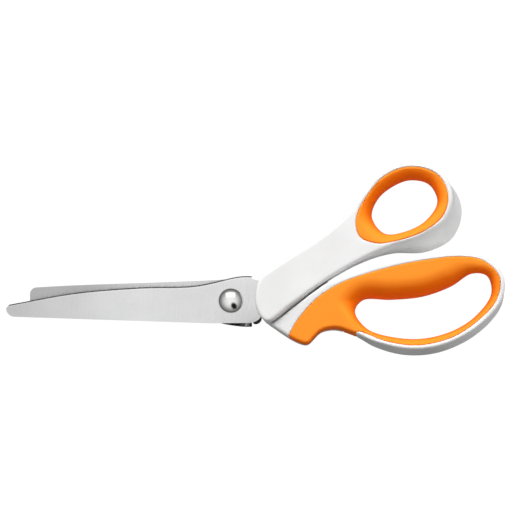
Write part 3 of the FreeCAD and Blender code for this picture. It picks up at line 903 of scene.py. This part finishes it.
@dataclass
class Pivot:
    """The dome-headed screw, the cap nut behind it and the pieces stacked between."""

    head_radius: float = 5.7
    head_rise: float = 3.2
    rim: float = 0.7
    rim_chamfer: float = 0.25
    crown_inset: float = 0.12
    crown_rings: int = 24
    nut_radius: float = 6.0
    nut_rise: float = 2.0
    nut_chamfer: float = 0.35
    groove: tuple[float, ...] = (3.4, 3.6, 4.0, 4.2)
    groove_depth: float = 0.18
    sleeve_radius: float = 3.2

    def head(self) -> None:
        """Make the polished dome with its small rolled rim."""
        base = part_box("pivot_screw")[1].z / MM - self.head_rise
        crown = self.head_rise - self.rim
        ball = (self.head_radius ** 2 + crown ** 2) / (2 * crown)
        chamfer = self.rim_chamfer
        profile = [(0.0, base), (self.head_radius - chamfer, base), (self.head_radius, base + chamfer)]
        spread = math.asin((self.head_radius - self.crown_inset) / ball)
        for index in range(self.crown_rings):
            angle = spread * (1.0 - index / self.crown_rings)
            level = base + self.head_rise - ball * (1.0 - math.cos(angle))
            profile.append((ball * math.sin(angle), level))
        profile.append((0.0, base + self.head_rise))
        finish_piece(lathe("dome_head", profile), Body.FINGER, HEAD_STEEL, Slot.POLISHED,
                     "pivot_screw")

    def nut(self) -> None:
        """Make the cap nut: a chamfered flange with a shallow turned ring, and its sleeve."""
        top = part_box("pivot_nut")[1].z / MM
        chamfer = self.nut_chamfer
        groove = list(zip(self.groove, (0.0, self.groove_depth, self.groove_depth, 0.0)))
        profile = [(0.0, 0.0), *groove, (self.nut_radius - chamfer, 0.0), (self.nut_radius, chamfer),
                   (self.nut_radius, self.nut_rise - chamfer),
                   (self.nut_radius - chamfer, self.nut_rise), (self.sleeve_radius, self.nut_rise),
                   (self.sleeve_radius, top), (0.0, top)]
        finish_piece(lathe("cap_nut", profile), Body.FINGER, NUT_STEEL, Slot.POLISHED, "pivot_nut")

    def build(self) -> None:
        """Make the turned pieces and dress the stacked ones."""
        self.head()
        self.nut()
        dress_node("spring_washer", WASHER_STEEL)
        for node in ("rear_friction_washer", "front_friction_washer", "spacer_plate"):
            dress_node(node, BLACK_NYLON)


@dataclass
class Blades:
    """The two stamped blades."""

    front: BrushedSteel = FRONT_STEEL
    rear: BrushedSteel = SHADED_REAR_STEEL

    def build(self) -> None:
        """Dress both blades."""
        dress_node("front_blade", self.front)
        dress_node("rear_blade", self.rear)


# --- the studio -------------------------------------------------------------------------------


@dataclass(frozen=True)
class Lamp:
    """One soft square light that looks at the shears. Lengths are in metres, power in watts."""

    name: str
    place: Triple
    side: float
    power: float

    def hang(self, target: Vector) -> None:
        """Hang the light so that steel doesn't mirror it.

        Args:
            target: what it looks at.
        """
        lamp = bpy.data.lights.new(self.name, "AREA")
        lamp.shape = "SQUARE"
        lamp.size = self.side
        lamp.energy = self.power
        holder = bpy.data.objects.new(self.name, lamp)
        holder.location = self.place
        holder.rotation_euler = (target - holder.location).to_track_quat("-Z", "Y").to_euler()
        holder.visible_glossy = False
        bpy.context.scene.collection.objects.link(holder)


@dataclass(frozen=True)
class Panel:
    """A flat glowing panel, in metres."""

    name: str
    size: Point
    tone: float
    grey: float = 0.0

    def make(self) -> bpy.types.Object:
        """Make the panel with its material, level and at the origin.

        Returns:
            The panel.
        """
        half_width, half_height = self.size[0] / 2, self.size[1] / 2
        corners = [(-half_width, -half_height, 0.0), (half_width, -half_height, 0.0),
                   (half_width, half_height, 0.0), (-half_width, half_height, 0.0)]
        made = add_mesh(self.name, corners, [(0, 1, 2, 3)], smooth=False)
        material = bpy.data.materials.new(self.name)
        material.use_nodes = True
        shader = material.node_tree.nodes["Principled BSDF"]
        shader.inputs["Base Color"].default_value = (self.grey, self.grey, self.grey, 1.0)
        shader.inputs["Specular IOR Level"].default_value = 0.0
        shader.inputs["Emission Color"].default_value = (1.0, 1.0, 1.0, 1.0)
        shader.inputs["Emission Strength"].default_value = self.tone
        made.data.materials.append(material)
        return made


@dataclass(frozen=True, kw_only=True)
class Card(Panel):
    """A card that faces the pivot and that only steel mirrors.

    Its rim is how far in it fades, from 0, a hard edge, to 1, as far as the middle.
    """

    place: Triple
    rim: float = 0.0

    def hang(self) -> None:
        """Hang the card."""
        card = self.make()
        card.location = self.place
        card.rotation_euler = (-Vector(self.place)).to_track_quat("-Z", "Y").to_euler()
        if self.rim:
            self.fade(card.active_material.node_tree)
        card.visible_camera = False
        card.visible_diffuse = False
        card.visible_shadow = False

    def fade(self, tree: bpy.types.NodeTree) -> None:
        """Let the card clear towards its rim, in an oval.

        Args:
            tree: its material's nodes.
        """
        place = add_node(tree, "ShaderNodeTexCoord")
        stretch = add_node(tree, "ShaderNodeMapping", Scale=(2 / self.size[0], 2 / self.size[1], 1.0))
        oval = add_node(tree, "ShaderNodeTexGradient", gradient_type="SPHERICAL")
        spread = add_node(tree, "ShaderNodeMapRange", From_Max=self.rim)
        clear = add_node(tree, "ShaderNodeBsdfTransparent")
        blend = add_node(tree, "ShaderNodeMixShader")
        behind, before = blend.inputs[1], blend.inputs[2]
        tree.links.new(place.outputs["Object"], stretch.inputs["Vector"])
        tree.links.new(stretch.outputs["Vector"], oval.inputs["Vector"])
        tree.links.new(oval.outputs["Fac"], spread.inputs["Value"])
        tree.links.new(spread.outputs["Result"], blend.inputs["Fac"])
        tree.links.new(clear.outputs["BSDF"], behind)
        tree.links.new(tree.nodes["Principled BSDF"].outputs["BSDF"], before)
        tree.links.new(blend.outputs["Shader"], tree.nodes["Material Output"].inputs["Surface"])


@dataclass
class Studio:
    """The pale floor, the soft lights and the camera straight above."""

    middle: Point = (11.6, 20.5)
    view_width: float = 235.5
    camera_height: float = 1600.0
    aim_level: float = 11.0
    sensor: float = 36.0
    far: float = 20.0
    floor_side: float = 8.0
    floor_tone: float = 1.0
    floor_grey: float = 0.04
    floor_roughness: float = 0.9
    floor_gap: float = 0.0002
    matt_sky: tuple[Point, ...] = ((0.50, 0.48), (0.54, 0.17), (0.75, 0.20), (0.98, 0.70))
    steel_sky: tuple[Point, ...] = ((0.30, 0.02), (0.50, 0.06), (0.70, 0.34), (0.90, 0.84), (0.98, 1.0))
    lamps: tuple[Lamp, ...] = (
        Lamp("key", (-0.15, 0.95, 0.75), side=0.6, power=15.5),
        Lamp("left_fill", (-1.2, 0.8, 0.3), side=0.5, power=4.0),
        Lamp("side_fill", (1.3, 0.2, 0.12), side=0.3, power=7.0))
    cards: tuple[Card, ...] = (
        Card("dark_card", (0.042, 0.064), tone=0.01, place=(0.018, -0.031, 0.046), rim=0.5),
        Card("bright_card", (0.80, 0.50), tone=1.15, place=(-0.02, 0.42, 0.50)))

    def floor(self) -> None:
        """Lay the pale floor just under the shears. It lights nothing and steel doesn't mirror it."""
        size = (self.floor_side, self.floor_side)
        ground = Panel("floor", size, self.floor_tone, self.floor_grey).make()
        shader = ground.active_material.node_tree.nodes["Principled BSDF"]
        shader.inputs["Roughness"].default_value = self.floor_roughness
        ground.location.z = -self.floor_gap
        ground.visible_diffuse = False
        ground.visible_glossy = False

    @staticmethod
    def tones(tree: bpy.types.NodeTree, height: bpy.types.NodeSocket,
              stops: tuple[Point, ...]) -> bpy.types.NodeSocket:
        """Return a grey that changes with height.

        Args:
            tree: the world's nodes.
            height: what is looked up, from 0 straight below to 1 straight above.
            stops: heights with their greys.

        Returns:
            The colour socket.
        """
        sky = add_node(tree, "ShaderNodeValToRGB")
        elements = sky.color_ramp.elements
        given = len(elements)
        for index, (place, grey) in enumerate(stops):
            stop = elements[index] if index < given else elements.new(place)
            stop.position = place
            stop.color = (grey, grey, grey, 1.0)
        tree.links.new(height, sky.inputs["Fac"])
        return sky.outputs["Color"]

    def sky(self) -> None:
        """Set two skies: one for matt surfaces and one that steel mirrors."""
        world = bpy.data.worlds.new("studio")
        world.use_nodes = True
        tree = world.node_tree
        direction = add_node(tree, "ShaderNodeTexCoord")
        parts = add_node(tree, "ShaderNodeSeparateXYZ")
        tree.links.new(direction.outputs["Generated"], parts.inputs["Vector"])
        height = add_node(tree, "ShaderNodeMapRange", From_Min=-1.0)
        tree.links.new(parts.outputs["Z"], height.inputs["Value"])
        path = add_node(tree, "ShaderNodeLightPath")
        choice = add_node(tree, "ShaderNodeMix", data_type="RGBA")
        tree.links.new(path.outputs["Is Glossy Ray"], choice.inputs["Factor"])
        for stops, socket in ((self.matt_sky, MIX_FIRST), (self.steel_sky, MIX_SECOND)):
            tone = self.tones(tree, height.outputs["Result"], stops)
            tree.links.new(tone, choice.inputs[socket])
        tree.links.new(choice.outputs[MIX_RESULT], tree.nodes["Background"].inputs["Color"])
        bpy.context.scene.world = world

    def camera(self) -> None:
        """Hang the camera straight above, with +Y at the top of the view."""
        lens = bpy.data.cameras.new("camera")
        lens.sensor_width = self.sensor
        lens.lens = self.sensor * (self.camera_height - self.aim_level) / self.view_width
        lens.clip_end = self.far
        holder = bpy.data.objects.new("camera", lens)
        holder.location = (self.middle[0] * MM, self.middle[1] * MM, self.camera_height * MM)
        bpy.context.scene.collection.objects.link(holder)
        bpy.context.scene.camera = holder

    def build(self) -> None:
        """Set the whole studio."""
        bpy.context.scene.view_settings.view_transform = "Standard"
        self.sky()
        self.floor()
        for lamp in self.lamps:
            lamp.hang(Vector((self.middle[0] * MM, self.middle[1] * MM, 0.0)))
        for card in self.cards:
            card.hang()
        self.camera()


def main() -> None:
    """Build the shears and the studio."""
    logging.basicConfig(level=logging.INFO, format="%(message)s")
    for piece in (Blades(), Pivot(), ThumbHandle(), FingerHandle(), Studio()):
        piece.build()


if __name__ == "__main__":
    main()
